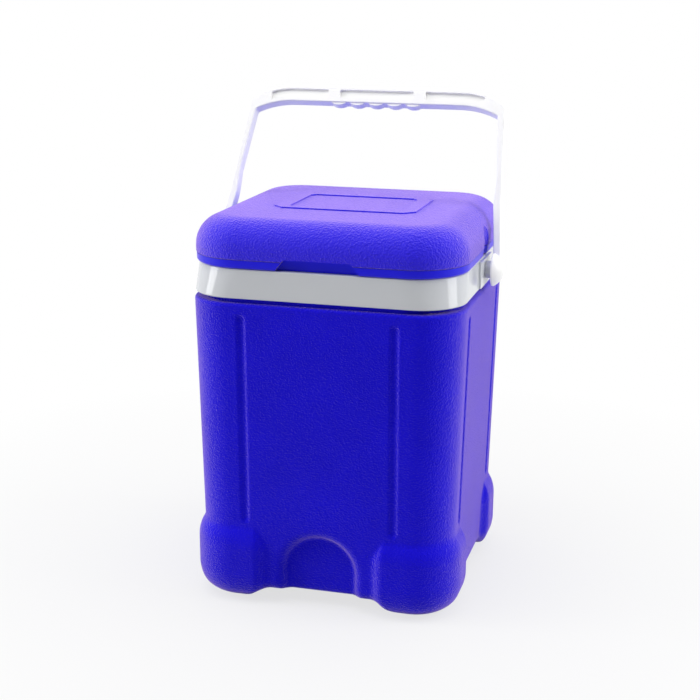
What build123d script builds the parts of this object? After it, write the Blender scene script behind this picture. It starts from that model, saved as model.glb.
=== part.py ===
from build123d import *

import os
from math import cos, radians, sin, tan

os.makedirs("parts", exist_ok=True)

# Vaccine carrier: an insulated box with a hinged lid and a swinging bail handle.
# Millimetres. X runs to the right, Y to the rear, Z up; the floor is Z = 0 and the box stands centred on it.

# ---- Body shell ----
shoulder_z = 323.8          # top of the blue body, under the collar
body_half = 140.8           # half width of the body at its shoulder
body_corner = 47.0          # plan radius of the body's corners at the shoulder
body_draft = 1.33           # degrees that each side leans in towards the floor
under_z = 15.0              # clearance under the body between its feet
under_round = 11.0
shoulder_round = 4.0
shell_wall = 3.0
least_round = 0.6           # smallest rounding kept on an inner form
neck_gap = 0.4              # gap between the neck and the collar round it
neck_corner_ease = 1.0      # the neck's corners are this much rounder than the collar's inside

# ---- Feet, arches and grooves of the shell ----
foot_proud = 1.7            # how far the feet stand out past the shoulder
foot_corner = 49.0
foot_gap = 61.0             # half the gap between two neighbouring feet
foot_outer_round = 35.0     # rounding of a foot's outer bottom edge
foot_inner_round = 30.0     # rounding of a foot's inner bottom edge
foot_band_top = 61.0        # height at which a foot starts to draw in
foot_top_round = 36.0
arch_half = 41.0            # half width of the arched recess, front and rear
arch_top = 82.0
arch_depth = 9.0
groove_x = 78.5             # distance of each groove from the middle of its side
groove_round = 5.9
groove_depth = 2.4
groove_low = 88.7
groove_top_gap = 11.1       # from a groove's top end to the shoulder

# ---- Collar ----
collar_gap = 3.8            # shadow gap between the shoulder and the collar
collar_height = 29.8
collar_step = 0.8           # how far the collar's bottom stands in from the shoulder
collar_lean = 1.1           # how far the collar's sides lean in towards its top
collar_corner_low = 46.8
collar_corner_high = 58.0
collar_wall = 3.0
collar_edge_round = 1.2
deck_thickness = 3.4
pad_half = 30.0             # half length of the raised pad around each handle pivot
pad_proud = 2.0
hub_radius = 9.0
hub_gap = 0.2               # side play between the hub, the handle arm and the pin's head
hub_room = 1.0              # free space round the hub's boss inside the shell and the foam

# ---- Liner ----
mouth_inset = 28.8          # from the body's side to the opening: the insulated wall
mouth_corner = 40.0
liner_wall = 2.5
liner_floor_z = 48.0
liner_floor_round = 14.0
flange_width = 16.0         # the liner's flange round the mouth
flange_corner = 52.0
flange_thickness = 2.5
seat_gap = 0.2              # gap between pieces that lie against each other

# ---- Handle ----
pivot_drop = 14.1           # pivot axis below the collar's top
handle_lean = 29.6          # degrees that the handle leans back
arm_depth = 12.5            # front to back
arm_pivot_play = 6.5        # from the collar's pad to an arm's inner face at the pivot
arm_thickness_pivot = 7.5
arm_straight_y = 12.0       # the arm runs straight this far up from the pivot
arm_bend_y = 70.0           # distance from the pivot where the arm has drawn in to the box's side
arm_hold_y = 100.0          # distance to which its inner face then runs straight along that side
arm_bend_play = 0.8         # side play between an arm and the body's side as the handle swings down
arm_thickness_bend = 7.9
arm_thickness_top = 7.0
arm_draw_in = 6.7           # how far an arm's inner face draws in above its straight run
bar_under = 178.7           # underside of the grip, from the pivot
bar_height = 18.0
armpit_drop = 10.4          # inner corner between an arm and the grip, below the grip's underside
shoulder_drop = 17.5        # outer corner between an arm and the grip, below the grip's top
bar_end_run = 49.1          # from the outer corner to the straight middle of the grip
armpit_round = 3.5
shoulder_corner_round = 8.0
handle_edge_round = 1.3
knob_radius = 17.0          # round domed end of each arm, which turns on the collar's hub
knob_rim = 1.6
knob_height = 11.8
socket_depth = 6.6          # blind bore in a knob for its pin
slot_half_height = 4.8
slot_rise = 0.8             # how far the slots lie above the grip's middle
slot_depth = 3.0
slot_inner_half = 41.0      # half length of the middle slot
slot_web = 13.5             # solid web between two slots
slot_end_run = 22.8         # from the outer corner to the side slot's end
slot_end_drop = 4.0         # how far the side slot's end drops with the grip's curve
slot_corner = 1.5
bump_pitch = 20.7
bump_half = 8.2
bump_height = 2.5
bump_count = 5

# ---- Handle pins ----
pin_radius = 5.0
pin_run = 0.08              # running clearance of the pin in the handle's eye
pin_hold = 0.02             # clearance of the pin in the collar's bore
pin_end_gap = 0.3           # from the pin's tip to the bottom of its bore
pin_tip_chamfer = 0.8
pin_head_radius = 7.5
pin_head_thickness = 2.6
boss_length = 4.4           # the collar's inner boss behind the pad
pocket_depth = 8.0          # hollow in the foam behind the boss, for the pin's head

# ---- Lid ----
lid_gap = 0.3               # gap between the lid and the collar
rim_step = 0.7              # how far the rim stands in from the lid's shell
rim_height = 8.6
rim_round = 3.0
rim_wall = 2.6
lid_split = 0.4             # parting line between the lid's base and its shell
lid_overhang = 0.3          # how far the lid's sides stand out past the body's shoulder
lid_corner = 56.0
lid_height = 47.2           # over the lid, from its seat to its top
lid_round = 31.5
lid_wall = 3.0
recess_round = 20.0         # upright hollow beside each handle arm
recess_depth = 4.0
recess_lip = 0.3            # how far outside the lid's side the hollow's soft lips start
recess_lip_round = 9.0
frame_x = 150.0             # raised eight-sided frame on the lid's top
frame_y = 102.0
frame_chamfer = 11.0
frame_centre_chamfer = 5.5
frame_band_x = 16.0
frame_band_y = 8.5
frame_height = 1.4
frame_edge_round = 0.5
lid_edge_round = 1.2        # lower edge of the lid's shell
lid_least_side = 1.0        # least straight height left under the lid's rounding
plug_gap = 2.0              # between the plug and the mouth
plug_depth = 27.0
plug_draft = 2.0
plug_wall = 2.5
plug_round = 5.0
notch_low_half = 43.0       # finger notch in the lid's front edge
notch_high_half = 34.0
notch_height = 11.6
notch_depth = 7.0
notch_corner = 4.0
notch_wall = 2.6
cup_hold = 0.02             # clearance round the finger cup in the lid base

# ---- Lid hinge ----
hinge_x = 70.0              # distance of each hinge from the middle
hinge_rise = 0.6            # hinge axis above the collar's top
knuckle_radius = 3.4
lug_width = 18.0
ear_width = 7.0
ear_gap = 0.3
hinge_pin_radius = 1.6
hinge_run = 0.06
hinge_hold = 0.02
knuckle_clear = 0.5         # free space around a knuckle
hinge_block_depth = 7.4     # solid block inside the rim that carries the knuckles
hinge_block_height = 7.0

# ---- Heights that follow from the sizes above ----
collar_bottom_z = shoulder_z + collar_gap
collar_top_z = collar_bottom_z + collar_height
deck_bottom_z = collar_top_z - deck_thickness
flange_bottom_z = deck_bottom_z - seat_gap - flange_thickness
neck_top_z = flange_bottom_z - seat_gap
pivot_z = collar_top_z - pivot_drop
rim_bottom_z = collar_top_z + lid_gap
rim_top_z = rim_bottom_z + rim_height
lid_split_z = rim_top_z + lid_split
lid_top_z = rim_bottom_z + lid_height
hinge_z = collar_top_z + hinge_rise
plug_bottom_z = rim_bottom_z - plug_depth
notch_top_z = rim_bottom_z + notch_height

# ---- Positions across that follow from the sizes above ----
draft_slope = tan(radians(body_draft))
foot_half = body_half + foot_proud
groove_high = shoulder_z - groove_top_gap
collar_half_low = body_half - collar_step
collar_half_high = collar_half_low - collar_lean
neck_half = collar_half_high - collar_wall - neck_gap
neck_corner = collar_corner_high - collar_wall + neck_corner_ease
mouth_half = body_half - mouth_inset
flange_half = mouth_half + flange_width
lid_half = body_half + lid_overhang
rim_half = lid_half - rim_step
rim_corner = lid_corner - rim_step
lid_top_round = min(lid_round, lid_top_z - lid_split_z - lid_least_side)
plug_half = mouth_half - plug_gap
plug_corner = mouth_corner - plug_gap
pad_face_x = collar_half_low + pad_proud
arm_in_pivot = pad_face_x + arm_pivot_play
arm_in_bend = body_half + arm_bend_play
arm_out_pivot = arm_in_pivot + arm_thickness_pivot
arm_out_bend = arm_in_bend + arm_thickness_bend
bar_top = bar_under + bar_height
armpit_x = arm_in_bend - arm_draw_in
armpit_y = bar_under - armpit_drop
shoulder_x = armpit_x + arm_thickness_top
shoulder_y = bar_top - shoulder_drop
bar_flat_half = shoulder_x - bar_end_run
slot_end_x = shoulder_x - slot_end_run
knob_top_x = arm_in_pivot + knob_height
hub_end_x = arm_in_pivot - hub_gap
boss_end_x = collar_half_low - collar_wall - boss_length
hinge_y = collar_half_high
lug_half = lug_width / 2
ear_outer = lug_half + ear_gap + ear_width
handle_plane = Plane(
    origin=(0, 0, pivot_z),
    x_dir=(1, 0, 0),
    z_dir=(0, -cos(radians(handle_lean)), sin(radians(handle_lean))),
)
hinge_left = Location((-hinge_x, hinge_y, hinge_z), (0, 90, 0))
hinge_right = Location((hinge_x, hinge_y, hinge_z), (0, 90, 0))
cut_margin = 1.0            # how far a cutting shape runs past the face that it opens


def body_half_at(height):
    """Half width of the drafted body at a height."""
    return body_half - (shoulder_z - height) * draft_slope


def feet_form(inset):
    """The four rounded feet, moved inward by inset."""
    ring_top = foot_band_top + foot_top_round - inset
    gap_half = foot_gap + inset
    inner_centre = foot_gap + foot_inner_round
    with BuildPart() as feet:
        with BuildSketch(Plane.XY.offset(inset)):
            width = 2 * (foot_half - inset)
            RectangleRounded(width, width, foot_corner - inset)
        extrude(amount=ring_top - inset)
        fillet(feet.edges().group_by(Axis.Z)[0], foot_outer_round - inset)
        fillet(feet.edges().group_by(Axis.Z)[-1], foot_top_round - inset)
        for plane in (Plane.XZ, Plane.YZ):
            with BuildSketch(plane):
                with BuildLine():
                    Polyline(
                        (0, -cut_margin),
                        (0, ring_top + cut_margin),
                        (gap_half, ring_top + cut_margin),
                        (gap_half, foot_inner_round),
                    )
                    CenterArc((inner_centre, foot_inner_round), foot_inner_round - inset, 180, 90)
                    Polyline((inner_centre, inset), (inner_centre, -cut_margin), (0, -cut_margin))
                make_face()
                mirror(about=Plane.YZ)
            extrude(amount=foot_half + cut_margin, both=True, mode=Mode.SUBTRACT)
    return feet.part


def body_form(inset, top):
    """The body's outer form moved inward by inset, with its neck carried up to top."""
    block_top = shoulder_z - inset
    block_half = body_half_at(block_top) - inset
    arch_reach = arch_half + inset
    arch_spring = arch_top - arch_half
    arch_floor = body_half_at(arch_spring) - arch_depth - inset
    groove_middle = (groove_low + groove_high) / 2
    groove_straight = groove_high - groove_low - 2 * groove_round
    groove_centre = body_half_at(groove_middle) + groove_round - groove_depth
    feet = feet_form(inset)
    with BuildPart() as form:
        with BuildSketch(Plane(origin=(0, 0, block_top), z_dir=(0, 0, -1))):
            RectangleRounded(2 * block_half, 2 * block_half, body_corner - inset)
        extrude(amount=block_top - under_z - inset, taper=body_draft)
        fillet(form.edges().group_by(Axis.Z)[0], under_round - inset)
        fillet(form.edges().group_by(Axis.Z)[-1], max(shoulder_round - inset, least_round))
        with BuildSketch(Plane.XY.offset(block_top - shoulder_round)):
            neck_width = 2 * (neck_half - inset)
            RectangleRounded(neck_width, neck_width, neck_corner - inset)
        extrude(amount=top - block_top + shoulder_round)
        add(feet)
        for side in (-1, 1):
            with BuildSketch(Plane.XZ.offset(-side * arch_floor)):
                with BuildLine():
                    Line((-arch_reach, -cut_margin), (-arch_reach, arch_spring))
                    ThreePointArc(
                        (-arch_reach, arch_spring),
                        (0, arch_spring + arch_reach),
                        (arch_reach, arch_spring),
                    )
                    Polyline((arch_reach, arch_spring), (arch_reach, -cut_margin), (-arch_reach, -cut_margin))
                make_face()
            extrude(amount=-side * foot_half, mode=Mode.SUBTRACT)
        with PolarLocations(0, 4):
            for x in (-groove_x, groove_x):
                with Locations(Location((x, -groove_centre, groove_middle), (body_draft, 0, 0))):
                    Cylinder(groove_round + inset, groove_straight, mode=Mode.SUBTRACT)
                    with Locations((0, 0, groove_straight / 2), (0, 0, -groove_straight / 2)):
                        Sphere(groove_round + inset, mode=Mode.SUBTRACT)
    return form.part


def liner_form(grow):
    """The liner's hollow, made larger all round by grow."""
    top = deck_bottom_z - seat_gap
    with BuildPart() as form:
        with BuildSketch(Plane(origin=(0, 0, top), z_dir=(0, 0, -1))):
            width = 2 * (mouth_half + grow)
            RectangleRounded(width, width, mouth_corner + grow)
        extrude(amount=top - liner_floor_z + grow, taper=body_draft)
        fillet(form.edges().group_by(Axis.Z)[0], liner_floor_round)
    return form.part


def side_cylinder(radius, near, far):
    """A pair of cylinders on the handle's axis, one each side, from near to far."""
    with BuildPart() as pair:
        for side in (-1, 1):
            with BuildSketch(Plane.YZ.offset(side * near)):
                with Locations((0, pivot_z)):
                    Circle(radius)
            extrude(amount=side * (far - near))
    return pair.part


def recess_pair(inset, low, high):
    """The upright hollows in the lid's sides, where the handle's arms stand, with soft lips."""
    floor_x = lid_half - recess_depth - inset
    lip_x = lid_half + recess_lip - inset
    arc_round = recess_round + inset
    with BuildPart() as pair:
        with BuildSketch(Plane.XY.offset(low)) as outline:
            with Locations((floor_x + arc_round, 0)):
                Circle(arc_round)
            with Locations((lip_x + recess_round, 0)):
                Rectangle(2 * recess_round, 4 * recess_round)
            lips = outline.vertices().filter_by(lambda corner: abs(corner.Y) < 1.5 * recess_round)
            fillet(lips, recess_lip_round)
            mirror(about=Plane.YZ)
        extrude(amount=high - low)
    return pair.part


def rim_form(inset, low, high):
    """The lid base's rim, moved inward by inset, from low to high, with the same hollows in its sides."""
    centre = lid_half - recess_depth + recess_round
    with BuildPart() as form:
        with BuildSketch(Plane.XY.offset(low)) as outline:
            width = 2 * (rim_half - inset)
            RectangleRounded(width, width, rim_corner - inset)
            with Locations((-centre, 0), (centre, 0)):
                Circle(recess_round + inset, mode=Mode.SUBTRACT)
            lips = outline.vertices().filter_by(lambda corner: abs(corner.Y) < recess_round)
            fillet(lips, recess_lip_round - inset)
        extrude(amount=high - low)
    return form.part


def lid_form(inset, low):
    """The lid's domed form, moved inward by inset, with its open bottom at low."""
    top = lid_top_z - inset
    recesses = recess_pair(inset, low - cut_margin, top + cut_margin)
    with BuildPart() as form:
        with BuildSketch(Plane.XY.offset(low)):
            width = 2 * (lid_half - inset)
            RectangleRounded(width, width, lid_corner - inset)
        extrude(amount=top - low)
        fillet(form.edges().group_by(Axis.Z)[-1], lid_top_round - inset)
        add(recesses, mode=Mode.SUBTRACT)
    return form.part


def plug_form(inset, bottom_inset, high):
    """The lid's plug, moved inward by inset, up to high."""
    with BuildPart() as form:
        with BuildSketch(Plane(origin=(0, 0, high), z_dir=(0, 0, -1))):
            width = 2 * (plug_half - inset)
            RectangleRounded(width, width, plug_corner - inset)
        extrude(amount=high - plug_bottom_z - bottom_inset, taper=plug_draft)
        fillet(form.edges().group_by(Axis.Z)[0], plug_round - inset / 2)
    return form.part


def notch_block(grow, low_z, front, back):
    """The finger notch's hollow, made larger by grow, up from low_z and from front to back."""
    with BuildPart() as block:
        with BuildSketch(Plane.XZ.offset(front)) as face:
            Polygon(
                (-notch_low_half - grow, low_z),
                (notch_low_half + grow, low_z),
                (notch_high_half + grow, notch_top_z + grow),
                (-notch_high_half - grow, notch_top_z + grow),
                align=None,
            )
            fillet(face.vertices().group_by(Axis.Y)[-1], notch_corner)
        extrude(amount=back - front)
    return block.part


def knuckle_block(radius, half_width, shape):
    """A hinge knuckle's outline in the YZ plane, pulled out to half_width each side of X = 0."""
    with BuildPart() as block:
        with BuildSketch(Plane.YZ):
            with Locations((hinge_y, hinge_z)):
                Circle(radius)
            Polygon(*shape, align=None)
        extrude(amount=half_width, both=True)
    return block.part


# ---- Outer shell ----
pocket_radius = hub_radius + hub_room
shell_outside = body_form(0, neck_top_z)
shell_inside = body_form(shell_wall, neck_top_z + cut_margin)
shell_pockets = side_cylinder(pocket_radius, neck_half - 2 * shell_wall, neck_half + cut_margin)
with BuildPart() as outer_shell:
    add(shell_outside)
    add(shell_inside, mode=Mode.SUBTRACT)
    add(shell_pockets, mode=Mode.SUBTRACT)
outer_shell.part.label = "outer_shell"
export_step(outer_shell.part, "parts/outer_shell.step")

# ---- Insulation between the shell and the liner ----
foam_outside = body_form(shell_wall + seat_gap, neck_top_z)
foam_inside = liner_form(liner_wall + seat_gap)
foam_pockets = side_cylinder(pocket_radius, boss_end_x - pocket_depth, neck_half)
with BuildPart() as body_insulation:
    add(foam_outside)
    add(foam_inside, mode=Mode.SUBTRACT)
    add(foam_pockets, mode=Mode.SUBTRACT)
body_insulation.part.label = "body_insulation"
export_step(body_insulation.part, "parts/body_insulation.step")

# ---- Inner liner ----
liner_outside = liner_form(liner_wall)
liner_inside = liner_form(0)
with BuildPart() as inner_liner:
    add(liner_outside)
    with BuildSketch(Plane.XY.offset(flange_bottom_z)):
        RectangleRounded(2 * flange_half, 2 * flange_half, flange_corner)
    extrude(amount=flange_thickness)
    add(liner_inside, mode=Mode.SUBTRACT)
inner_liner.part.label = "inner_liner"
export_step(inner_liner.part, "parts/inner_liner.step")

# ---- Collar ----
skirt_low = collar_half_low - collar_wall
skirt_high = collar_half_high - collar_wall
pivot_hubs = side_cylinder(hub_radius, boss_end_x, hub_end_x)
pivot_bores = side_cylinder(pin_radius + pin_hold, boss_end_x - cut_margin, hub_end_x + cut_margin)
ear_foot_z = deck_bottom_z - deck_thickness
ear_block = knuckle_block(
    knuckle_radius,
    ear_outer,
    (
        (hinge_y + knuckle_radius, hinge_z),
        (hinge_y + collar_edge_round, ear_foot_z),
        (hinge_y - knuckle_radius, ear_foot_z),
        (hinge_y - knuckle_radius, hinge_z),
    ),
)
lug_pocket_radius = knuckle_radius + knuckle_clear
lug_pocket = knuckle_block(
    lug_pocket_radius,
    lug_half + ear_gap,
    (
        (hinge_y + lug_pocket_radius, hinge_z + knuckle_radius),
        (hinge_y + lug_pocket_radius, hinge_z),
        (hinge_y - lug_pocket_radius, hinge_z),
        (hinge_y - lug_pocket_radius, hinge_z + knuckle_radius),
    ),
)
with BuildPart() as collar:
    with BuildSketch(Plane.XY.offset(collar_bottom_z)):
        RectangleRounded(2 * collar_half_low, 2 * collar_half_low, collar_corner_low)
    with BuildSketch(Plane.XY.offset(collar_top_z)):
        RectangleRounded(2 * collar_half_high, 2 * collar_half_high, collar_corner_high)
    loft()
    fillet(collar.edges().group_by(Axis.Z)[0], collar_edge_round)
    fillet(collar.edges().group_by(Axis.Z)[-1], collar_edge_round)
    with Locations((0, 0, collar_bottom_z + collar_height / 2)):
        Box(2 * pad_face_x, 2 * pad_half, collar_height - 2 * collar_edge_round)
    upright_edges = collar.edges().filter_by(Axis.Z)
    fillet(upright_edges.group_by(lambda edge: abs(edge.center().X))[-1], collar_edge_round)
    with BuildSketch(Plane.XY.offset(collar_bottom_z)):
        RectangleRounded(2 * skirt_low, 2 * skirt_low, collar_corner_low - collar_wall)
    with BuildSketch(Plane.XY.offset(deck_bottom_z)):
        RectangleRounded(2 * skirt_high, 2 * skirt_high, collar_corner_high - collar_wall)
    loft(mode=Mode.SUBTRACT)
    with BuildSketch(Plane.XY.offset(deck_bottom_z - cut_margin)):
        RectangleRounded(2 * mouth_half, 2 * mouth_half, mouth_corner)
    extrude(amount=deck_thickness + 2 * cut_margin, mode=Mode.SUBTRACT)
    add(pivot_hubs)
    add(pivot_bores, mode=Mode.SUBTRACT)
    with Locations((-hinge_x, 0, 0), (hinge_x, 0, 0)):
        add(ear_block)
        add(lug_pocket, mode=Mode.SUBTRACT)
    with Locations(hinge_left, hinge_right):
        Cylinder(hinge_pin_radius + hinge_hold, 2 * ear_outer + cut_margin, mode=Mode.SUBTRACT)
collar.part.label = "collar"
export_step(collar.part, "parts/collar.step")

# ---- Handle ----
sockets = side_cylinder(pin_radius + pin_run, arm_in_pivot - cut_margin, arm_in_pivot + socket_depth)
knob_rise = knob_height - knob_rim
knob_dome_radius = (knob_radius**2 + knob_rise**2) / (2 * knob_rise)
slot_middle = (bar_top + bar_under) / 2 + slot_rise
slot_high = slot_middle + slot_half_height
slot_low = slot_middle - slot_half_height
slot_start = slot_inner_half + slot_web
with BuildPart() as handle:
    with BuildSketch(handle_plane) as outline:
        with BuildLine():
            Polyline(
                (arm_in_pivot, 0),
                (arm_out_pivot, 0),
                (arm_out_pivot, arm_straight_y),
                (arm_out_bend, arm_bend_y),
                (shoulder_x, shoulder_y),
            )
            TangentArc((bar_flat_half, bar_top), (shoulder_x, shoulder_y), tangent=(1, 0))
            Polyline((bar_flat_half, bar_top), (0, bar_top), (0, bar_under), (bar_flat_half, bar_under))
            TangentArc((bar_flat_half, bar_under), (armpit_x, armpit_y), tangent=(1, 0))
            Polyline(
                (armpit_x, armpit_y),
                (arm_in_bend, arm_hold_y),
                (arm_in_bend, arm_bend_y),
                (arm_in_pivot, arm_straight_y),
                (arm_in_pivot, 0),
            )
        make_face()
        fillet(outline.vertices().sort_by_distance((armpit_x, armpit_y, 0))[0], armpit_round)
        fillet(outline.vertices().sort_by_distance((shoulder_x, shoulder_y, 0))[0], shoulder_corner_round)
        mirror(about=Plane.YZ)
    extrude(amount=arm_depth / 2, both=True)
    fillet(handle.faces().filter_by(handle_plane).edges(), handle_edge_round)
    with BuildSketch(Plane(origin=(0, 0, pivot_z), x_dir=(1, 0, 0), z_dir=(0, -1, 0))):
        with BuildLine():
            Polyline(
                (arm_in_pivot, 0),
                (arm_in_pivot, knob_radius),
                (arm_in_pivot + knob_rim, knob_radius),
            )
            RadiusArc((arm_in_pivot + knob_rim, knob_radius), (knob_top_x, 0), knob_dome_radius)
            Line((knob_top_x, 0), (arm_in_pivot, 0))
        make_face()
        mirror(about=Plane.YZ)
    revolve(axis=Axis((0, 0, pivot_z), (1, 0, 0)))
    with BuildSketch(handle_plane):
        for index in range(bump_count):
            bump_x = (index - (bump_count - 1) / 2) * bump_pitch
            with BuildLine():
                ThreePointArc(
                    (bump_x - bump_half, bar_under),
                    (bump_x, bar_under - bump_height),
                    (bump_x + bump_half, bar_under),
                )
                Polyline(
                    (bump_x + bump_half, bar_under),
                    (bump_x + bump_half, bar_under + handle_edge_round),
                    (bump_x - bump_half, bar_under + handle_edge_round),
                    (bump_x - bump_half, bar_under),
                )
            make_face()
    extrude(amount=arm_depth / 2 - handle_edge_round, both=True)
    for side in (-1, 1):
        with BuildSketch(handle_plane.offset(side * arm_depth / 2)):
            with Locations((0, slot_middle)):
                RectangleRounded(2 * slot_inner_half, 2 * slot_half_height, slot_corner)
            with BuildLine():
                Polyline(
                    (bar_flat_half, slot_high),
                    (slot_start, slot_high),
                    (slot_start, slot_low),
                    (bar_flat_half, slot_low),
                )
                TangentArc((bar_flat_half, slot_low), (slot_end_x, slot_low - slot_end_drop), tangent=(1, 0))
                Line((slot_end_x, slot_low - slot_end_drop), (slot_end_x, slot_high - slot_end_drop))
                TangentArc((bar_flat_half, slot_high), (slot_end_x, slot_high - slot_end_drop), tangent=(1, 0))
            make_face()
            mirror(about=Plane.YZ)
        extrude(amount=-side * slot_depth, mode=Mode.SUBTRACT)
    add(sockets, mode=Mode.SUBTRACT)
handle.part.label = "handle"
export_step(handle.part, "parts/handle.step")

# ---- Handle pins: put in from inside the collar's boss, with their ends in the handle's knobs ----
head_face_x = boss_end_x - seat_gap
head_end_x = head_face_x - pin_head_thickness
pin_tip_x = arm_in_pivot + socket_depth - pin_end_gap
with BuildPart() as handle_pin_right:
    with BuildSketch(Plane(origin=(0, 0, pivot_z), x_dir=(1, 0, 0), z_dir=(0, -1, 0))):
        with BuildLine():
            Polyline(
                (head_end_x, 0),
                (head_end_x, pin_head_radius),
                (head_face_x, pin_head_radius),
                (head_face_x, pin_radius),
                (pin_tip_x - pin_tip_chamfer, pin_radius),
                (pin_tip_x, pin_radius - pin_tip_chamfer),
                (pin_tip_x, 0),
                (head_end_x, 0),
            )
        make_face()
    revolve(axis=Axis((0, 0, pivot_z), (1, 0, 0)))
handle_pin_right.part.label = "handle_pin_right"
export_step(handle_pin_right.part, "parts/handle_pin_right.step")

with BuildPart() as handle_pin_left:
    mirror(handle_pin_right.part, about=Plane.YZ)
handle_pin_left.part.label = "handle_pin_left"
export_step(handle_pin_left.part, "parts/handle_pin_left.step")

# ---- Lid base: the rim, the deck and the plug that fills the mouth ----
deck_top_z = rim_bottom_z + rim_wall
rim_inner_half = rim_half - rim_wall
notch_back = rim_half - notch_depth
hinge_block_width = 2 * (ear_outer + rim_wall)
hinge_block_y = rim_inner_half - hinge_block_depth / 2
hinge_block_top_z = rim_bottom_z + hinge_block_height
rim_outside = rim_form(0, rim_bottom_z, rim_top_z)
rim_inside = rim_form(rim_wall, deck_top_z, rim_top_z + cut_margin)
plug_outside = plug_form(0, 0, deck_top_z)
plug_inside = plug_form(plug_wall, plug_wall, deck_top_z + cut_margin)
notch_walls = notch_block(notch_wall, rim_bottom_z, rim_inner_half, notch_back - notch_wall)
notch_hollow = notch_block(0, rim_bottom_z, lid_half + cut_margin, notch_back)
cup_room = notch_block(notch_wall + cup_hold, rim_bottom_z, rim_inner_half, notch_back - notch_wall - cup_hold)
lug_block = knuckle_block(
    knuckle_radius,
    lug_half,
    (
        (hinge_y + knuckle_radius, hinge_z),
        (hinge_y, hinge_block_top_z),
        (rim_inner_half - rim_wall, hinge_block_top_z),
        (rim_inner_half - rim_wall, rim_bottom_z),
        (hinge_y, rim_bottom_z),
    ),
)
with BuildPart() as lid_base:
    add(rim_outside)
    fillet(lid_base.edges().group_by(Axis.Z)[0], rim_round)
    add(rim_inside, mode=Mode.SUBTRACT)
    add(plug_outside)
    add(plug_inside, mode=Mode.SUBTRACT)
    add(cup_room, mode=Mode.SUBTRACT)
    add(notch_hollow, mode=Mode.SUBTRACT)
    with BuildSketch(Plane.XY.offset(rim_bottom_z)):
        with Locations((-hinge_x, hinge_block_y), (hinge_x, hinge_block_y)):
            Rectangle(hinge_block_width, hinge_block_depth)
    extrude(amount=hinge_block_height)
    with Locations((-hinge_x, hinge_y, hinge_z), (hinge_x, hinge_y, hinge_z)):
        Box(2 * (ear_outer + ear_gap), 2 * lug_pocket_radius, 2 * lug_pocket_radius, mode=Mode.SUBTRACT)
    with Locations((-hinge_x, 0, 0), (hinge_x, 0, 0)):
        add(lug_block)
    with Locations(hinge_left, hinge_right):
        Cylinder(hinge_pin_radius + hinge_run, lug_width + cut_margin, mode=Mode.SUBTRACT)
lid_base.part.label = "lid_base"
export_step(lid_base.part, "parts/lid_base.step")

# ---- Finger cup: the walls of the finger notch, let into the lid base behind the rim ----
with BuildPart() as finger_cup:
    add(notch_walls)
    add(notch_hollow, mode=Mode.SUBTRACT)
finger_cup.part.label = "finger_cup"
export_step(finger_cup.part, "parts/finger_cup.step")

# ---- Lid shell ----
lid_outside = lid_form(0, lid_split_z)
lid_inside = lid_form(lid_wall, lid_split_z - cut_margin)
with BuildPart() as lid_shell:
    add(lid_outside)
    fillet(lid_shell.edges().group_by(Axis.Z)[0], lid_edge_round)
    with BuildSketch(Plane.XY.offset(lid_top_z)) as frame_band:
        Rectangle(frame_x, frame_y)
        chamfer(frame_band.vertices(), frame_chamfer)
    extrude(amount=frame_height)
    with BuildSketch(Plane.XY.offset(lid_top_z + frame_height)) as frame_centre:
        Rectangle(frame_x - 2 * frame_band_x, frame_y - 2 * frame_band_y)
        chamfer(frame_centre.vertices(), frame_centre_chamfer)
    extrude(amount=-frame_height, mode=Mode.SUBTRACT)
    fillet(lid_shell.edges().group_by(Axis.Z)[-1], frame_edge_round)
    add(lid_inside, mode=Mode.SUBTRACT)
    add(notch_hollow, mode=Mode.SUBTRACT)
lid_shell.part.label = "lid_shell"
export_step(lid_shell.part, "parts/lid_shell.step")

# ---- Insulation inside the lid ----
rim_foam = rim_form(rim_wall + seat_gap, deck_top_z + seat_gap, lid_split_z)
lid_foam = lid_form(lid_wall + seat_gap, lid_split_z)
plug_foam = plug_form(plug_wall + seat_gap, plug_wall + seat_gap, lid_split_z)
notch_room = notch_block(notch_wall + seat_gap, rim_bottom_z, lid_half, notch_back - notch_wall - seat_gap)
with BuildPart() as lid_insulation:
    add(lid_foam)
    add(rim_foam)
    add(plug_foam)
    add(notch_room, mode=Mode.SUBTRACT)
    with BuildSketch(Plane.XY.offset(rim_bottom_z)):
        with Locations((-hinge_x, hinge_block_y), (hinge_x, hinge_block_y)):
            Rectangle(hinge_block_width + 2 * seat_gap, hinge_block_depth + 2 * seat_gap)
    extrude(amount=hinge_block_height + seat_gap, mode=Mode.SUBTRACT)
lid_insulation.part.label = "lid_insulation"
export_step(lid_insulation.part, "parts/lid_insulation.step")

# ---- Hinge pins ----
with BuildPart() as hinge_pin_right:
    with Locations(hinge_right):
        Cylinder(hinge_pin_radius, 2 * ear_outer)
hinge_pin_right.part.label = "hinge_pin_right"
export_step(hinge_pin_right.part, "parts/hinge_pin_right.step")

with BuildPart() as hinge_pin_left:
    mirror(hinge_pin_right.part, about=Plane.YZ)
hinge_pin_left.part.label = "hinge_pin_left"
export_step(hinge_pin_left.part, "parts/hinge_pin_left.step")
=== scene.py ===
import math

import bpy
import numpy as np
from mathutils import Matrix, Vector


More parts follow.
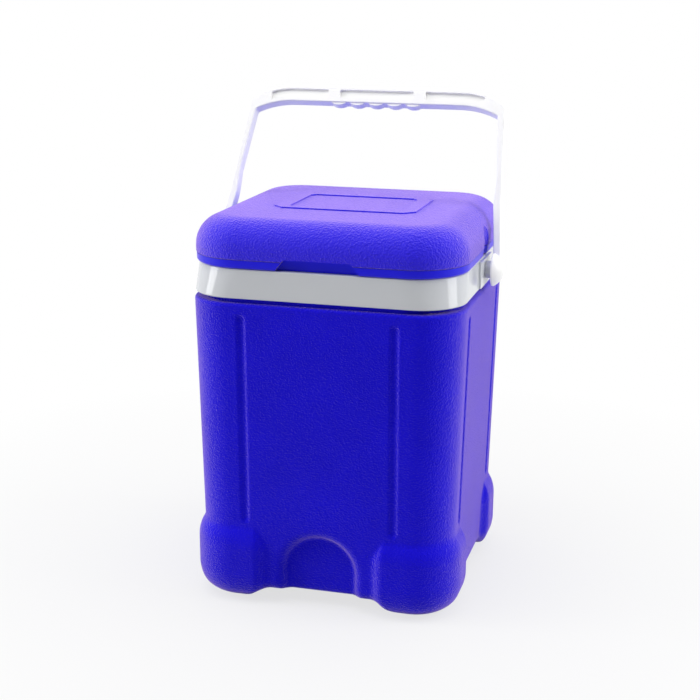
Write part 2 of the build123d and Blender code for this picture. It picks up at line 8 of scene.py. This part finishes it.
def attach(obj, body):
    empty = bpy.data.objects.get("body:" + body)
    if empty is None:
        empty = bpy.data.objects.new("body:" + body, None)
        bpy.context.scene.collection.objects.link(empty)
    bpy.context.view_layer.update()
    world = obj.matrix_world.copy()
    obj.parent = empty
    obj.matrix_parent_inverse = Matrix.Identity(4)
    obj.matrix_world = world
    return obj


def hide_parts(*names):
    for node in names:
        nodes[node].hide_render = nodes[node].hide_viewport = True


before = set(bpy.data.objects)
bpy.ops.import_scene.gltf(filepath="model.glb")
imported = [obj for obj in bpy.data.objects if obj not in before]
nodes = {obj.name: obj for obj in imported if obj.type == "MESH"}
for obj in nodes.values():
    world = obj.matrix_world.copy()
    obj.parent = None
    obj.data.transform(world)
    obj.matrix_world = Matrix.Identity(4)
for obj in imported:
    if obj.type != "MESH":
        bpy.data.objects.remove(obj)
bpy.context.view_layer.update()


def link_to_scene(obj):
    bpy.context.scene.collection.objects.link(obj)
    return obj


def assign(obj, mat):
    obj.data.materials.clear()
    obj.data.materials.append(mat)


# ---------------------------------------------------------------- node helpers
MM_PER_METRE = 1000.0
NOISE_RANGE = (0.3, 0.7)    # nearly all of a noise's values lie between these
WHITE = (1.0, 1.0, 1.0, 1.0)


def new_material(name):
    mat = bpy.data.materials.new(name)
    mat.use_nodes = True
    tree = mat.node_tree
    tree.nodes.clear()
    out = tree.nodes.new("ShaderNodeOutputMaterial")
    shader = tree.nodes.new("ShaderNodeBsdfPrincipled")
    tree.links.new(shader.outputs[0], out.inputs[0])
    return mat, tree, shader


def add_node(tree, kind, inputs=None, **settings):
    """A new node whose inputs are linked where a socket is given, and set where a value is."""
    node = tree.nodes.new(kind)
    for key, value in settings.items():
        setattr(node, key, value)
    for key, value in (inputs or {}).items():
        if isinstance(value, bpy.types.NodeSocket):
            tree.links.new(value, node.inputs[key])
        else:
            node.inputs[key].default_value = value
    return node


def object_coords(tree):
    return tree.nodes.new("ShaderNodeTexCoord").outputs["Object"]


def noise(tree, coords, scale, detail=2.0, roughness=0.5):
    node = add_node(tree, "ShaderNodeTexNoise", {"Vector": coords, "Scale": scale, "Detail": detail,
                                                 "Roughness": roughness})
    return node.outputs["Fac"]


def two_tones(tree, fac, dark, pale):
    """A colour that goes from dark to pale with a noise."""
    node = add_node(tree, "ShaderNodeValToRGB", {0: fac})
    for point, position, colour in zip(node.color_ramp.elements, NOISE_RANGE, (dark, pale)):
        point.position = position
        point.color = (*colour, 1.0)
    return node.outputs[0]


def map_range(tree, value, source, result, **settings):
    node = add_node(tree, "ShaderNodeMapRange", {"Value": value, "From Min": source[0], "From Max": source[1],
                                                 "To Min": result[0], "To Max": result[1]}, **settings)
    return node.outputs[0]


def combine(tree, operation, first, second):
    return add_node(tree, "ShaderNodeMath", {0: first, 1: second}, operation=operation).outputs[0]


def mix_shaders(tree, share, first, second):
    return add_node(tree, "ShaderNodeMixShader", {0: share, 1: first.outputs[0], 2: second.outputs[0]}).outputs[0]


def bump(tree, height, strength, distance, normal=None):
    inputs = {"Height": height, "Strength": strength, "Distance": distance}
    if normal is not None:
        inputs["Normal"] = normal
    return add_node(tree, "ShaderNodeBump", inputs).outputs[0]


# ---------------------------------------------------------------- materials
# The scales of clouds, ripples and flecks are per metre, and reliefs are in metres.
BLUE_CLOUDS, WHITE_CLOUDS = 14.0, 9.0
WHITE_RIPPLES, STEEL_FLECKS = 60.0, 900.0
GRAIN_ROUGHNESS, STEEL_ROUGHNESS = (0.4, 0.52), (0.25, 0.4)
RIPPLE_SHARE = 0.15         # share by which a white plastic's roughness goes up and down


def blue_plastic(name, pebble, fine, base, dark, relief, gloss, sheen, sheen_rough, tint):
    """Grained polyethylene. pebble and fine are the sizes of its two grains in millimetres."""
    mat, tree, shader = new_material(name)
    coords = object_coords(tree)
    pebbles = add_node(tree, "ShaderNodeTexVoronoi", {"Vector": coords, "Scale": MM_PER_METRE / pebble},
                       feature="SMOOTH_F1").outputs["Distance"]
    grain = noise(tree, coords, MM_PER_METRE / fine, detail=3.0, roughness=0.6)
    colour = two_tones(tree, noise(tree, coords, BLUE_CLOUDS), dark, base)
    tree.links.new(colour, shader.inputs["Base Color"])
    tree.links.new(map_range(tree, grain, NOISE_RANGE, GRAIN_ROUGHNESS), shader.inputs["Roughness"])
    coarse = bump(tree, pebbles, strength=1.0, distance=relief)
    both = bump(tree, grain, strength=0.6, distance=relief / 2, normal=coarse)
    tree.links.new(both, shader.inputs["Normal"])
    shader.inputs["IOR"].default_value = 1.5
    shader.inputs["Specular IOR Level"].default_value = gloss
    shader.inputs["Sheen Weight"].default_value = sheen
    shader.inputs["Sheen Roughness"].default_value = sheen_rough
    shader.inputs["Sheen Tint"].default_value = (*tint, 1.0)
    return mat


def white_plastic(name, base, dark, rough, wave=0.00004):
    """Smooth plastic with a faint waviness, or foam where the wave is larger."""
    mat, tree, shader = new_material(name)
    coords = object_coords(tree)
    colour = two_tones(tree, noise(tree, coords, WHITE_CLOUDS), dark, base)
    tree.links.new(colour, shader.inputs["Base Color"])
    ripples = noise(tree, coords, WHITE_RIPPLES)
    roughness = (rough * (1 - RIPPLE_SHARE), rough * (1 + RIPPLE_SHARE))
    tree.links.new(map_range(tree, ripples, NOISE_RANGE, roughness), shader.inputs["Roughness"])
    tree.links.new(bump(tree, ripples, strength=0.4, distance=wave), shader.inputs["Normal"])
    shader.inputs["IOR"].default_value = 1.49
    return mat


def steel(name, base, dark):
    mat, tree, shader = new_material(name)
    flecks = noise(tree, object_coords(tree), STEEL_FLECKS)
    tree.links.new(two_tones(tree, flecks, dark, base), shader.inputs["Base Color"])
    tree.links.new(map_range(tree, flecks, NOISE_RANGE, STEEL_ROUGHNESS), shader.inputs["Roughness"])
    shader.inputs["Metallic"].default_value = 1.0
    return mat


LID_BLUE, LID_BLUE_DARK = (0.0040, 0.0015, 0.80), (0.0035, 0.0012, 0.75)

body_blue = blue_plastic("body_blue", pebble=1.4, fine=0.8, base=(0.0040, 0.0015, 0.75), dark=(0.0030, 0.0010, 0.68),
                         relief=0.00090, gloss=0.02, sheen=1.0, sheen_rough=0.42, tint=(0.78, 0.54, 1.0))
lid_blue = blue_plastic("lid_blue", pebble=1.8, fine=1.0, base=LID_BLUE, dark=LID_BLUE_DARK,
                        relief=0.00095, gloss=0.06, sheen=1.0, sheen_rough=0.53, tint=(0.80, 0.54, 1.0))
rim_blue = blue_plastic("rim_blue", pebble=3.2, fine=1.4, base=LID_BLUE, dark=LID_BLUE_DARK,
                        relief=0.00010, gloss=0.25, sheen=0.7, sheen_rough=0.35, tint=(0.80, 0.60, 1.0))
collar_white = white_plastic("collar_white", base=(0.62, 0.64, 0.67), dark=(0.60, 0.62, 0.65), rough=0.10)
handle_white = white_plastic("handle_white", base=(0.94, 0.94, 0.93), dark=(0.91, 0.91, 0.90), rough=0.35)
liner_white = white_plastic("liner_white", base=(0.78, 0.79, 0.80), dark=(0.74, 0.75, 0.77), rough=0.25)
foam_cream = white_plastic("foam_cream", base=(0.72, 0.66, 0.48), dark=(0.62, 0.56, 0.40), rough=0.8, wave=0.0003)
pin_steel = steel("pin_steel", base=(0.62, 0.62, 0.64), dark=(0.50, 0.50, 0.52))

NODE_MATERIALS = {
    "outer_shell": body_blue,
    "body_insulation": foam_cream,
    "inner_liner": liner_white,
    "collar": collar_white,
    "handle": handle_white,
    "handle_pin_left": collar_white,
    "handle_pin_right": collar_white,
    "lid_shell": lid_blue,
    "lid_base": rim_blue,
    "finger_cup": rim_blue,
    "lid_insulation": foam_cream,
    "hinge_pin_left": pin_steel,
    "hinge_pin_right": pin_steel,
}
for node_name, node_mat in NODE_MATERIALS.items():
    assign(nodes[node_name], node_mat)

# ---------------------------------------------------------------- body skin: sizes
# The blow-moulded shell as one soft surface, in millimetres. First the sizes that are the CAD model's own.
DRAFT = math.tan(math.radians(1.33))            # how far a side leans in for each millimetre down
BODY_HALF, BODY_CORNER = 140.8, 47.0            # at the shoulder
SHOULDER_EDGE = 4.0
UNDER_Z, UNDER_EDGE = 15.0, 11.0                # the body's underside, between the feet
NECK_HALF, NECK_CORNER, NECK_TOP_Z = 135.5, 56.0, 350.9
FOOT_HALF, FOOT_CORNER = 142.5, 49.0
FOOT_GAP = 61.0                                 # half the gap between two feet
FOOT_TOP_Z, FOOT_TOP_ROUND = 97.0, 36.0
ARCH_HALF, ARCH_SPRING_Z, ARCH_FLOOR = 41.0, 41.0, 125.2
GROOVE_X, GROOVE_R, GROOVE_DEPTH = 78.5, 5.9, 2.4
GROOVE_LOW_Z, GROOVE_HIGH_Z = 88.7, 312.7

# Then the skin's own, which make it softer than the solid.
SHOULDER_Z = 323.0                              # the solid's shoulder is at 323.8
NECK_ROOT_Z, NECK_EDGE = 310.0, 0.6             # the root lies inside the body
FOOT_UNDER_ROUND = 33.0                         # the solid has 35 outside and 30 inside
FOOT_EDGE, FOOT_GAP_ROUND, GROOVE_EDGE = 9.0, 12.0, 1.0
FOOT_SPLAY, FOOT_SPLAY_Z = 6.0, 30.0            # a foot's inner sides draw back from this height to the floor
CREASE_Z = (12.0, 30.0, 62.0, 76.0)             # the fillet between body and foot, at four heights
CREASE_FILLET = (14.0, 7.0, 7.0, 2.0)
ARCH_SLOPE = 0.45                               # an arch's sides close in by this share of its depth
ARCH_SINK, ARCH_SINK_Z, ARCH_SINK_RUN = 2.0, 80.0, 60.0     # its floor sinks from this height, over this run
ARCH_FLOOR_ROUND, ARCH_LIP = 3.5, 6.0


# ---------------------------------------------------------------- body skin: distance fields
# A field is below 0 inside its form. In the fields of forms, x and y are distances from the middle planes: the
# body is the same on its left and right, and on its front and rear.
def hypot2(a, b):
    return np.sqrt(a * a + b * b)


def cut_round(a, b, r):
    """Where both fields are inside, with the edge between them rounded to r."""
    return np.minimum(np.maximum(a, b), -r) + hypot2(np.maximum(a + r, 0), np.maximum(b + r, 0))


def join_soft(a, b, r):
    """Where either field is inside, with a fillet of r in the crease."""
    return np.maximum(np.minimum(a, b), r) - hypot2(np.maximum(r - a, 0), np.maximum(r - b, 0))


def fall(z, top, run):
    """0 from the top up, and 1 from a run below it down."""
    return np.clip((top - z) / run, 0, 1)


def square_field(x, y, half, corner):
    qx, qy = x - half + corner, y - half + corner
    return hypot2(np.maximum(qx, 0), np.maximum(qy, 0)) + np.minimum(np.maximum(qx, qy), 0) - corner


def trunk_field(x, y, z):
    lean = (SHOULDER_Z - z) * DRAFT
    trunk = square_field(x, y, BODY_HALF - lean, BODY_CORNER - lean)
    trunk = cut_round(cut_round(trunk, UNDER_Z - z, UNDER_EDGE), z - SHOULDER_Z, SHOULDER_EDGE)
    neck = cut_round(square_field(x, y, NECK_HALF, NECK_CORNER), z - NECK_TOP_Z, NECK_EDGE)
    return np.minimum(trunk, np.maximum(neck, NECK_ROOT_Z - z))


def foot_field(x, y, z):
    ring = square_field(x, y, FOOT_HALF, FOOT_CORNER)
    gap = cut_round(FOOT_GAP - x, FOOT_GAP - y, FOOT_GAP_ROUND)
    gap = gap + FOOT_SPLAY * fall(z, FOOT_SPLAY_Z, FOOT_SPLAY_Z) ** 2
    foot = cut_round(cut_round(ring, gap, FOOT_EDGE), -z, FOOT_UNDER_ROUND)
    return cut_round(foot, z - FOOT_TOP_Z, FOOT_TOP_ROUND)


def arch_field(x, y, z):
    depth = np.maximum(BODY_HALF - (SHOULDER_Z - z) * DRAFT - y, 0)
    flank = np.where(z > ARCH_SPRING_Z, hypot2(x, z - ARCH_SPRING_Z), x) - ARCH_HALF + ARCH_SLOPE * depth
    floor_y = ARCH_FLOOR - ARCH_SINK * fall(z, ARCH_SINK_Z, ARCH_SINK_RUN)
    return cut_round(flank, floor_y - y, ARCH_FLOOR_ROUND)


def groove_field(across, out, z):
    middle, reach = (GROOVE_LOW_Z + GROOVE_HIGH_Z) / 2, (GROOVE_HIGH_Z - GROOVE_LOW_Z) / 2 - GROOVE_R
    axis = BODY_HALF - (SHOULDER_Z - middle) * DRAFT + GROOVE_R - GROOVE_DEPTH
    past_end = np.maximum(np.abs(z - middle) - reach, 0)
    off = out - axis + (middle - z) * DRAFT
    return np.sqrt((across - GROOVE_X) ** 2 + off ** 2 + past_end ** 2) - GROOVE_R


def body_field(points):
    x, y, z = np.abs(points[:, 0]), np.abs(points[:, 1]), points[:, 2]
    body = join_soft(trunk_field(x, y, z), foot_field(x, y, z), np.interp(z, CREASE_Z, CREASE_FILLET))
    body = cut_round(body, -arch_field(x, y, z), ARCH_LIP)
    for across, out in ((x, y), (y, x)):
        body = cut_round(body, -groove_field(across, out, z), GROOVE_EDGE)
    return body


# ---------------------------------------------------------------- body skin: mesh
# A grid of points moves in along rays until it lies on the surface. The rays start on a rounded square outside
# the body, then on quarter turns from its lower edge to a smaller one, and then on a level sheet under the floor.
START_HALF, START_CORNER = 150.0, 56.0
CORE_HALF, CORE_CORNER = 100.0, 6.0
START_STRAIGHT, START_TURN = START_HALF - START_CORNER, START_HALF - CORE_HALF
CORNER_STEPS = 28
LONGEST_RAY = 75.0
SETTLE_STEPS, SETTLE_PACE = 90, 0.8             # a pace below 1, so that no point steps past a thin form
# runs of (start, end, step): finer at the grooves, the shoulder, the arches and the feet
SIDE_RUNS = ((0, 50, 1.6), (50, 69, 1.6), (69, 88, 0.95), (88, START_STRAIGHT, 2.0))
HEIGHT_RUNS = ((NECK_TOP_Z, 326, 4), (326, 324, 1), (324, 322.9, 0.1), (322.9, 319, 0.8), (319, 302, 1.3),
               (302, 104, 9), (104, 45, 1.6))
TURN_Z, TURN_STEP = HEIGHT_RUNS[-1][1], 3.0     # the quarter turns' centre, and the degrees between two rays
SHEET_RUN = (0.97, 0.05, 0.03)                  # shares of the smaller square, from its edge to the middle
# the inside wall, coarse and unseen: heights with half widths, then its floor
INSIDE_WALL = ((NECK_TOP_Z, 132.5), (322.0, 132.5), (300.0, 131.0), (110.0, 122.0), (20.0, 121.0))
INSIDE_CORNER = 46.0
INSIDE_FLOOR_Z, INSIDE_FLOOR_SHARES = 19.5, (0.97, 0.5, 0.05)


def spread(*runs):
    """Stops from runs of (start, end, step)."""
    stops = []
    for start, end, step in runs:
        count = max(1, round(abs(end - start) / step))
        stops.extend(np.linspace(start, end, count, endpoint=False))
    return np.array(stops + [runs[-1][1]])


def ring_points(half, corner):
    """Points and outward normals round a rounded square."""
    centre = half - corner
    side = spread(*SIDE_RUNS) / START_STRAIGHT
    ticks = np.concatenate([-side[:0:-1], side])
    points, normals = [], []
    for quarter in range(4):
        turn = -math.pi / 2 + quarter * math.pi / 2
        n = np.array([math.cos(turn), math.sin(turn)])
        t = np.array([-n[1], n[0]])
        for tick in ticks:
            points.append(n * half + t * tick * centre)
            normals.append(n)
        for angle in np.linspace(0, math.pi / 2, CORNER_STEPS + 2)[1:-1]:
            m = np.array([math.cos(turn + angle), math.sin(turn + angle)])
            points.append((n + t) * centre + m * corner)
            normals.append(m)
    return np.array(points), np.array(normals)


def with_z(points, z):
    return np.column_stack([points, np.full(len(points), z)])


def settle(starts, rays):
    """Moves each start along its ray onto the body's surface."""
    t = np.zeros(len(starts))
    for _ in range(SETTLE_STEPS):
        t = np.minimum(t + body_field(starts + rays * t[:, None]) * SETTLE_PACE, LONGEST_RAY)
    return starts + rays * t[:, None]


def outside_points():
    starts, rays = [], []
    outer, normal = ring_points(START_HALF, START_CORNER)
    for z in spread(*HEIGHT_RUNS):
        starts.append(with_z(outer, z))
        rays.append(with_z(-normal, 0.0))
    core, normal = ring_points(CORE_HALF, CORE_CORNER)
    for angle in np.radians(spread((TURN_STEP, 90.0, TURN_STEP))):
        out, down = math.cos(angle), math.sin(angle)
        starts.append(with_z(core + normal * (START_TURN * out), TURN_Z - START_TURN * down))
        rays.append(with_z(-normal * out, down))
    for share in spread(SHEET_RUN):
        starts.append(with_z(core * share, TURN_Z - START_TURN))
        rays.append(with_z(np.zeros_like(core), 1.0))
    return settle(np.concatenate(starts), np.concatenate(rays))


def inside_points():
    rows = [with_z(ring_points(half, INSIDE_CORNER)[0], z) for z, half in INSIDE_WALL]
    core, _ = ring_points(CORE_HALF, CORE_CORNER)
    rows += [with_z(core * share, INSIDE_FLOOR_Z) for share in INSIDE_FLOOR_SHARES]
    return np.concatenate(rows)


def band(upper, lower, width, inward=False):
    """Faces between two rings of points, each given by its first point."""
    faces = []
    for i in range(width):
        j = (i + 1) % width
        if inward:
            faces.append((upper + i, upper + j, lower + j, lower + i))
        else:
            faces.append((upper + i, lower + i, lower + j, upper + j))
    return faces


def build_body_skin():
    outside, inside = outside_points(), inside_points()
    width = len(ring_points(CORE_HALF, CORE_CORNER)[0])
    first_inside, end = len(outside), len(outside) + len(inside)
    faces = []
    for start in range(0, first_inside - width, width):
        faces += band(start, start + width, width)
    faces += band(0, first_inside, width, inward=True)
    for start in range(first_inside, end - width, width):
        faces += band(start, start + width, width, inward=True)
    faces.append(tuple(range(first_inside - width, first_inside)))
    faces.append(tuple(reversed(range(end - width, end))))
    verts = np.concatenate([outside, inside]) / MM_PER_METRE
    mesh = bpy.data.meshes.new("body_skin")
    mesh.from_pydata([tuple(v) for v in verts], [], faces)
    mesh.polygons.foreach_set("use_smooth", [True] * len(mesh.polygons))
    mesh.update()
    return link_to_scene(bpy.data.objects.new("body_skin", mesh))


body_skin = build_body_skin()
assign(body_skin, body_blue)
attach(body_skin, "box")
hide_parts("outer_shell")

# ---------------------------------------------------------------- camera
# Fitted to the photograph, in whose pixels the PHOTO sizes are.
PHOTO_SIDE, PHOTO_FOCAL = 700.0, 1407.2
PHOTO_CENTRE_X, PHOTO_CENTRE_Y = 353.44, 384.89     # where the lens's axis meets it
CAMERA_TURN, CAMERA_RISE, CAMERA_ROLL = math.radians(15.12), math.radians(16.37), math.radians(0.38)
CAMERA_AIM, CAMERA_DISTANCE = Vector((0.0, 0.0, 0.20666)), 1.53149
SENSOR = 36.0


def place_camera():
    back = Vector((math.sin(CAMERA_TURN) * math.cos(CAMERA_RISE), -math.cos(CAMERA_TURN) * math.cos(CAMERA_RISE),
                   math.sin(CAMERA_RISE)))
    level = Vector((math.cos(CAMERA_TURN), math.sin(CAMERA_TURN), 0.0))
    upright = back.cross(level)
    right = level * math.cos(CAMERA_ROLL) + upright * math.sin(CAMERA_ROLL)
    up = upright * math.cos(CAMERA_ROLL) - level * math.sin(CAMERA_ROLL)
    place = CAMERA_AIM + back * CAMERA_DISTANCE
    data = bpy.data.cameras.new("camera")
    data.sensor_width = SENSOR
    data.lens = PHOTO_FOCAL / PHOTO_SIDE * SENSOR
    data.shift_x = -(PHOTO_CENTRE_X - PHOTO_SIDE / 2) / PHOTO_SIDE
    data.shift_y = (PHOTO_CENTRE_Y - PHOTO_SIDE / 2) / PHOTO_SIDE
    data.clip_start = 0.05
    camera = link_to_scene(bpy.data.objects.new("camera", data))
    camera.matrix_world = Matrix([*zip(right, up, back, place), (0, 0, 0, 1)])
    bpy.context.scene.camera = camera


place_camera()

# ---------------------------------------------------------------- floor and light
FLOOR_HALF, FLOOR_GREY, FLOOR_ROUGHNESS = 6, 0.62, 0.9
FADE_DISTANCES, FADE_SHARES = (0.15, 0.75), (0.72, 1.0)     # from the floor's middle, and the backdrop's share
TENT_OPENING = (0.32, -0.86, -0.40)                         # the direction of the tent's dark, open side
TENT_SHADE, TENT_LEVELS = (-0.05, 0.60), (0.92, 0.0)        # a ray's cosine to it, and the light from there


def straight_rays(tree):
    """1 for the rays that show the backdrop itself, in view or in a mirror or glass; 0 for those that light."""
    path = tree.nodes.new("ShaderNodeLightPath")
    glossy = combine(tree, "MAXIMUM", path.outputs["Is Camera Ray"], path.outputs["Is Glossy Ray"])
    return combine(tree, "MAXIMUM", glossy, path.outputs["Is Transmission Ray"])


def build_floor():
    """A pale floor that fades into the backdrop's white, and keeps a soft shadow near the object."""
    half = FLOOR_HALF
    mesh = bpy.data.meshes.new("floor")
    mesh.from_pydata([(-half, -half, 0), (half, -half, 0), (half, half, 0), (-half, half, 0)], [], [(0, 1, 2, 3)])
    mat, tree, shader = new_material("floor_pale")
    shader.inputs["Base Color"].default_value = (FLOOR_GREY, FLOOR_GREY, FLOOR_GREY, 1)
    shader.inputs["Roughness"].default_value = FLOOR_ROUGHNESS
    away = add_node(tree, "ShaderNodeVectorMath", {0: object_coords(tree)}, operation="LENGTH")
    fade = map_range(tree, away.outputs["Value"], FADE_DISTANCES, FADE_SHARES)
    share = combine(tree, "MULTIPLY", fade, straight_rays(tree))
    glow = add_node(tree, "ShaderNodeEmission", {"Color": WHITE, "Strength": 1.0})
    tree.links.new(mix_shaders(tree, share, shader, glow), tree.nodes["Material Output"].inputs[0])
    obj = link_to_scene(bpy.data.objects.new("floor", mesh))
    assign(obj, mat)
    return obj


def build_world():
    """A light tent: bright at the sides, behind and above, and darker on the side that is open to the front."""
    world = bpy.data.worlds.new("studio")
    bpy.context.scene.world = world
    world.use_nodes = True
    tree = world.node_tree
    tree.nodes.clear()
    ray = tree.nodes.new("ShaderNodeTexCoord").outputs["Generated"]
    facing = add_node(tree, "ShaderNodeVectorMath", {0: ray, 1: TENT_OPENING}, operation="DOT_PRODUCT")
    level = map_range(tree, facing.outputs["Value"], TENT_SHADE, TENT_LEVELS, interpolation_type="SMOOTHSTEP")
    tent = add_node(tree, "ShaderNodeBackground", {"Color": WHITE, "Strength": level})
    backdrop = add_node(tree, "ShaderNodeBackground", {"Color": WHITE, "Strength": 1.0})
    out = tree.nodes.new("ShaderNodeOutputWorld")
    tree.links.new(mix_shaders(tree, straight_rays(tree), tent, backdrop), out.inputs[0])


def area_light(name, place, aim_height, size, power):
    """A rectangular soft box that faces the object's upright axis at a height."""
    data = bpy.data.lights.new(name, "AREA")
    data.shape = "RECTANGLE"
    data.size, data.size_y = size
    data.energy = power
    lamp = link_to_scene(bpy.data.objects.new(name, data))
    lamp.location = place
    lamp.rotation_euler = (Vector((0, 0, aim_height)) - Vector(place)).to_track_quat("-Z", "Y").to_euler()


floor = build_floor()
build_world()
area_light("left_box", place=(-1.8, -0.65, 0.9), aim_height=0.22, size=(0.7, 1.3), power=15)
area_light("right_box", place=(1.5, 0.1, 0.9), aim_height=0.25, size=(0.7, 1.4), power=12.5)
area_light("top_box", place=(-0.1, -0.45, 1.8), aim_height=0.3, size=(1.2, 0.8), power=9)

bpy.context.scene.view_settings.view_transform = "Standard"
bpy.context.view_layer.update()
